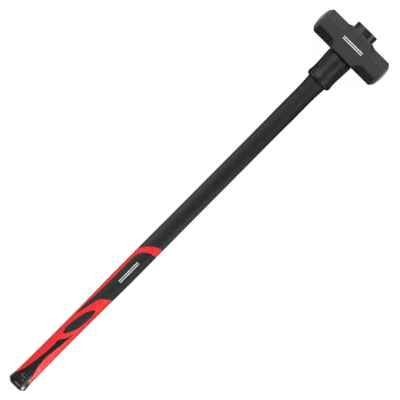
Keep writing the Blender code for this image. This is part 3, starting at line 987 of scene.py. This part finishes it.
def look_of_head():
    """Black baked paint with orange peel over a forged skin, and bare ground striking faces."""
    look = Look("head_paint")
    from_centre = look.vector("SUBTRACT", look.place, (HEAD_X, 0.0, AXIS_Z))
    flattened = look.vector("MULTIPLY", from_centre, (1.0, 0.0, 1.0))
    from_axis = look.vector("LENGTH", flattened, output="Value")
    ragged = look.times(look.noise(420, 4.0), GROUND_RAGGED)
    reach = look.math("ADD", from_axis, ragged)
    within_rim = look.step(reach, GROUND_RADIUS - 0.0001, GROUND_RADIUS + 0.0001, 1.0, 0.0)
    out = look.math("ABSOLUTE", look.y)
    steel = look.times(within_rim, look.step(out, GROUND_START, GROUND_START + 0.0005))

    paint = look.tint(HEAD_BLACK, 1.35, 55)
    split = look.node("SeparateXYZ", Vector=from_centre)
    along_x, along_z = (look.math("ABSOLUTE", split.outputs[axis]) for axis in "XZ")
    flat = look.math("MAXIMUM", along_x, along_z)
    slant = look.times(look.math("ADD", along_x, along_z), math.sqrt(0.5))
    on_arm = look.step(out, RUNOUT_START - 0.008, RUNOUT_START)
    # The edges and the rim's bevel get lighter paint: worn paint, and a painted highlight along the
    # edges.
    arm_wear_and_highlight, cheek_wear_and_highlight = ([HALF - depth for depth in wear_and_highlight] for wear_and_highlight in (ARM_WEAR_AND_HIGHLIGHT, CHEEK_WEAR_AND_HIGHLIGHT))
    arm_edge = look.step(look.math("MINIMUM", flat, slant), *arm_wear_and_highlight)
    cheek_edge = look.step(look.math("MINIMUM", along_x, along_z), *cheek_wear_and_highlight)
    rim_start = HEAD_LENGTH / 2 - CROWN_DROP - (HALF - CROWN_RIM) * RIM_BEVEL_SLOPE
    rim = look.step(out, rim_start - RIM_WEAR_AND_HIGHLIGHT[0], rim_start + RIM_WEAR_AND_HIGHLIGHT[1])
    edge = look.math("MAXIMUM", look.times(arm_edge, on_arm), look.times(cheek_edge, 0.5))
    edge = look.math("MAXIMUM", edge, rim)
    chipped_and_highlight = look.times(edge, look.step(look.noise(210, 4.0), 0.42, 0.62))
    paint = look.fleck(chipped_and_highlight, 0.32, paint, (0.120, 0.117, 0.112))
    stripes = twin_stripes(
        look, look.y, 0.0, HEAD_PRINT_LENGTH, look.x, BUTT_X + HEAD_PRINT_STATION, HEAD_PRINT_WIDTH
    )
    paint = look.mix(stripes, paint, PRINT_WHITE)
    ground = look.mix(look.noise(90, 3.0), (0.40, 0.395, 0.385), (0.52, 0.515, 0.505))
    colour = look.mix(steel, paint, ground)
    rough = look.blend(steel, look.vary(0.31, 0.40, 75), look.vary(0.26, 0.40, 300, 3.0, (1, 1, 9)))
    grinding = look.times(look.noise(260, 2.0, (14, 1, 1)), steel)
    look.shader.inputs["Specular IOR Level"].default_value = 0.30
    scale_marks = look.noise(95, 3.0)
    peel = look.noise(1100)
    normal = look.relief((scale_marks, 0.00024), (peel, 0.000015), (grinding, 0.00005))
    return look.finish(colour, rough, normal, steel)


def look_of_jacket():
    """Moulded black plastic with a fine grain, smooth and shiny where it leaves the head."""
    look = Look("jacket_black")
    stub = look.step(look.x, HEAD_X + HALF, HEAD_X + HALF + 0.004)
    colour = look.tint(JACKET_BLACK, 1.3, 24, 3.0, (0.35, 1, 1))
    speck = look.step(look.noise(1500, 1.0), 0.66, 0.74)
    colour = look.fleck(speck, 0.12, colour, (0.05, 0.05, 0.052))
    rough = look.blend(stub, look.vary(0.46, 0.58, 160), look.vary(0.18, 0.26, 60, 2.0))
    grain = look.times(look.noise(2300), look.math("SUBTRACT", 1.0, stub))
    flow = look.noise(140, 2.0, (0.08, 1, 1))
    normal = look.relief((flow, 0.00006), (grain, 0.000016), (look.parting(), 0.00012))
    return look.finish(colour, rough, normal)


def look_of_grip_red():
    """Soft red rubber with a matt moulded grain."""
    look = Look("grip_red")
    colour = look.tint(GRIP_RED, 0.86, 30, 4.0)
    scuff = look.step(look.noise(320, 4.0, (0.3, 1, 1)), 0.60, 0.78)
    colour = look.fleck(scuff, 0.12, colour, (0.80, 0.12, 0.11))
    rough = look.vary(0.42, 0.56, 210)
    grain = look.cells(1500)
    fine = look.noise(2600)
    swell = look.noise(85)
    normal = look.relief(
        (swell, 0.00008), (grain, 0.000011), (fine, 0.000005), (look.parting(), 0.0001)
    )
    return look.finish(colour, rough, normal)


def look_of_grip_black(name, printed):
    """Soft black rubber, smoother than the red."""
    look = Look(name)
    colour = look.tint(GRIP_BLACK, 1.3, 38, 4.0)
    dust = look.step(look.noise(700, 3.0), 0.60, 0.80)
    colour = look.fleck(dust, 0.2, colour, (0.06, 0.058, 0.056))
    if printed:
        middle = BUTT_X + PANEL_PRINT_STATION
        stripes = twin_stripes(
            look, look.x, middle, PANEL_PRINT_LENGTH, look.y, PANEL_PRINT_Y, PANEL_PRINT_WIDTH
        )
        colour = look.mix(stripes, colour, PRINT_WHITE)
    rough = look.vary(0.44, 0.58, 240)
    look.shader.inputs["Specular IOR Level"].default_value = 0.42
    normal = look.relief((look.noise(85), 0.00008), (look.noise(2400), 0.000014))
    return look.finish(colour, rough, normal)


def look_of_cap():
    """Hard black moulding with a faint shine and hair-line scratches."""
    look = Look("cap_black")
    colour = look.tint(CAP_BLACK, 1.35, 60)
    scratch = look.step(look.noise(1300, 2.0, (1, 0.05, 1)), 0.70, 0.76)
    colour = look.fleck(scratch, 0.2, colour, (0.06, 0.06, 0.062))
    rough = look.vary(0.18, 0.28, 170)
    normal = look.relief((look.noise(70), 0.0001), (scratch, 0.00001), (look.noise(2200), 0.000010))
    return look.finish(colour, rough, normal)


def look_of_collar():
    """Black rubber with a slight sheen, flowed a little in its mould."""
    look = Look("collar_rubber")
    colour = look.tint(COLLAR_BLACK, 1.35, 50)
    bloom = look.step(look.noise(130, 4.0), 0.52, 0.75)
    colour = look.fleck(bloom, 0.15, colour, (0.06, 0.06, 0.06))
    rough = look.vary(0.28, 0.42, 190)
    flow = look.noise(60)
    grain = look.noise(1900)
    normal = look.relief((flow, 0.00006), (grain, 0.000012), (look.parting(), 0.0001))
    return look.finish(colour, rough, normal)


def look_of_resin():
    """Dark cast resin, shiny, cloudy in places and with a few small bubbles, sunk as pits and
    darkened there as painted shade.
    """
    look = Look("resin")
    colour = look.mix(look.noise(240, 3.0), (0.022, 0.016, 0.010), (0.060, 0.040, 0.020))
    bubble_pit_and_shade = look.step(look.cells(700), 0.10, 0.22, 1.0, 0.0)
    # The bubbles' pits are darkened: painted shade.
    colour = look.fleck(bubble_pit_and_shade, 0.5, colour, (0.010, 0.008, 0.006))
    rough = look.vary(0.10, 0.26, 300, 2.0)
    normal = look.relief((look.noise(160), 0.0001), (bubble_pit_and_shade, -0.00008))
    return look.finish(colour, rough, normal)


def look_of_fibreglass():
    """Pultruded rod: pale resin packed with glass bundles that run its whole length."""
    look = Look("fibreglass")
    bundle = look.cells(1500, (0.02, 1, 1))
    fibre = look.noise(5200, 2.0, (0.02, 1, 1))
    colour = look.mix(look.step(bundle, 0.1, 0.7), (0.50, 0.46, 0.27), (0.34, 0.29, 0.13))
    colour = look.fleck(fibre, 0.4, colour, (0.66, 0.64, 0.50))
    rough = look.step(fibre, *NOISE_SPREAD, 0.34, 0.55)
    normal = look.relief((bundle, 0.00006), (fibre, 0.00004))
    return look.finish(colour, rough, normal)


# ---- pieces ----

layout = grip_layout()
both = (1, -1)
inlay = look_of_grip_black("grip_black", printed=False)
pieces = {
    # node: its finer piece, slot, material
    "hammer_head": (build_head(), "head_paint", look_of_head()),
    "eye_resin": (build_resin(), "resin", look_of_resin()),
    "fibreglass_core": (build_core(), "fibreglass", look_of_fibreglass()),
    "shaft_jacket": (build_jacket(), "jacket_black", look_of_jacket()),
    "grip_sleeve": (
        lay_piece("soft_sleeve", layout, "sleeve", both, swell=LIP_RISE),
        "grip_red",
        look_of_grip_red(),
    ),
    "palm_panel": (
        lay_piece("palm_inlay", layout, "panel", both, rise=INLAY_RISE),
        "grip_black",
        look_of_grip_black("grip_black_printed", printed=True),
    ),
    "oval_inlay_top": (
        lay_piece("oval_upper", layout, "oval", (1,), rise=INLAY_RISE), "grip_black", inlay
    ),
    "oval_inlay_under": (
        lay_piece("oval_lower", layout, "oval", (-1,), rise=INLAY_RISE), "grip_black", inlay
    ),
    "butt_cap": (
        lay_piece("butt_moulding", layout, "cap", both, swell=LIP_RISE, extra=cap_end()),
        "cap_black",
        look_of_cap(),
    ),
    "strike_collar": (build_collar(), "collar_rubber", look_of_collar()),
}
for node, (piece, slot, look) in pieces.items():
    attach(piece, "root")
    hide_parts(node)
    piece.data.materials.clear()
    piece.data.materials.append(look)

# ---- stage ----


def add_floor():
    """A white sweep that gives the object less light than it shows to the eye."""
    size = FLOOR_SIZE
    corners = [(-size, -size, 0), (size, -size, 0), (size, size, 0), (-size, size, 0)]
    floor = add_object("floor", corners, [(0, 1, 2, 3)], weld=0)
    floor.location.z = -FLOOR_DROP
    look = Look("floor")
    out = look.math("ABSOLUTE", look.y)
    beside_handle = look.times(
        look.step(out, *GLOW_ACROSS, 1.0, 0.0),
        look.step(look.x, *GLOW_ALONG, 1.0, 0.0),
    )
    beyond_faces = look.times(
        look.step(out, *GLOW_BEYOND),
        look.step(out, *GLOW_OUT, 1.0, 0.0),
        look.band(look.x, HEAD_X, *GLOW_BAND),
    )
    near = look.math("MAXIMUM", beside_handle, beyond_faces)
    seen = look.node("LightPath").outputs["Is Camera Ray"]
    level = look.blend(seen, look.blend(near, FAR_GLOW, NEAR_GLOW), FLOOR_GLOW)
    look.give(look.shader.inputs["Emission Strength"], level)
    look.shader.inputs["Emission Color"].default_value = (1, 1, 1, 1)
    look.shader.inputs["Base Color"].default_value = (0.03, 0.03, 0.03, 1)
    look.shader.inputs["Roughness"].default_value = 0.9
    look.shader.inputs["Specular IOR Level"].default_value = 0.0
    floor.data.materials.append(look.material)


def add_light(name, direction, distance, target, width, height, radiance, role):
    """A soft box whose longer side lies along X. Its radiance is that of its bright face.

    A matt light brightens what is matt and makes no highlight. A gloss card does the reverse.
    """
    data = bpy.data.lights.new(name, "AREA")
    data.shape = "RECTANGLE"
    data.size = width
    data.size_y = height
    data.energy = radiance * math.pi * width * height
    light = bpy.data.objects.new(name, data)
    bpy.context.scene.collection.objects.link(light)
    back = Vector(direction).normalized()
    light.location = Vector(target) + back * distance
    side = Vector((1, 0, 0)) - back * back.x
    side.normalize()
    light.rotation_mode = "QUATERNION"
    light.rotation_quaternion = Matrix((side, back.cross(side), back)).transposed().to_quaternion()
    light.visible_camera = False
    light.visible_glossy = role != "matt"
    light.visible_diffuse = role != "gloss"
    return light


def add_camera():
    """A long lens straight above, so near and far parts show at the same scale."""
    data = bpy.data.cameras.new("camera")
    data.sensor_width = SENSOR_WIDTH
    data.lens = SENSOR_WIDTH * CAMERA_DISTANCE / VIEW_WIDTH
    data.clip_start = 0.5
    data.clip_end = 100.0
    camera = bpy.data.objects.new("camera", data)
    bpy.context.scene.collection.objects.link(camera)
    camera.location = (*CAMERA_OVER, AXIS_Z + CAMERA_DISTANCE)
    camera.rotation_euler = (0, 0, -CAMERA_TURN)
    bpy.context.scene.camera = camera


def add_world():
    """White for the camera, and nearly dark for the object."""
    world = bpy.data.worlds.new("world")
    bpy.context.scene.world = world
    world.use_nodes = True
    nodes = world.node_tree.nodes
    sky = nodes["Background"]
    sky.inputs["Color"].default_value = (1, 1, 1, 1)
    seen = nodes.new("ShaderNodeLightPath").outputs["Is Camera Ray"]
    level = nodes.new("ShaderNodeMapRange")
    level.inputs["To Min"].default_value = WORLD_ON_OBJECT
    level.inputs["To Max"].default_value = WORLD_PALE
    world.node_tree.links.new(seen, level.inputs["Value"])
    world.node_tree.links.new(level.outputs["Result"], sky.inputs["Strength"])


def sideways(polar):
    """A direction in the handle's cross plane, by its angle from straight up, left positive."""
    angle = math.radians(polar)
    return (0.0, math.sin(angle), math.cos(angle))


LIGHTS = [
    # name, direction, distance, target, width along X, height, radiance, role
    ("left_key", (0.62, 0.45, 0.65), 4.0, (0.41, 0, 0), 1.5, 1.5, 30.0, "matt"),
    ("right_key", (0.62, -0.45, 0.65), 4.0, (0.41, 0, 0), 1.5, 1.5, 18.5, "matt"),
    ("grip_key", (0.0, -0.75, 0.66), 0.35, (-0.34, 0, 0), 0.40, 0.15, 3.7, "matt"),
    ("grip_left", sideways(70), 0.35, (-0.34, 0, 0), 0.40, 0.15, 1.7, "matt"),
    ("head_card", (0.0, 0.05, 1.0), 0.3, (0.46, 0, 0), 0.12, 0.20, 0.4, "gloss"),
    ("left_card", sideways(27), 1.0, (0.80, 0, 0), 0.9, 0.36, 2.3, "gloss"),
    ("left_fill", sideways(53), 1.0, (0.85, 0, 0), 0.9, 0.50, 1.5, "gloss"),
    ("stub_card", sideways(-48), 0.3, (0.50, 0, 0), 0.16, 0.12, 3.6, "gloss"),
    ("collar_card", sideways(-30), 0.3, (0.30, 0, 0), 0.14, 0.10, 2.2, "gloss"),
    ("left_wall", sideways(80), 0.5, (-0.035, 0, 0), 0.49, 0.55, 2.25, "gloss"),
    ("right_wall", sideways(-72), 0.5, (0.0, 0, 0), 0.18, 0.50, 2.8, "gloss"),
    ("grip_right", sideways(-60), 0.5, (-0.35, 0, 0), 0.26, 0.30, 1.8, "gloss"),
    ("butt_right", sideways(-78), 0.2, (-0.475, 0, 0), 0.08, 0.20, 17.0, "gloss"),
    ("panel_card", sideways(20), 0.5, (-0.16, 0, 0), 0.12, 0.20, 2.6, "gloss"),
    ("butt_card", (-0.28, 0.0, 0.96), 0.4, (-0.445, -0.06, 0), 0.14, 0.40, 3.4, "gloss"),
]

add_floor()
add_camera()
for light in LIGHTS:
    add_light(*light)
add_world()
bpy.context.scene.view_settings.view_transform = "Standard"
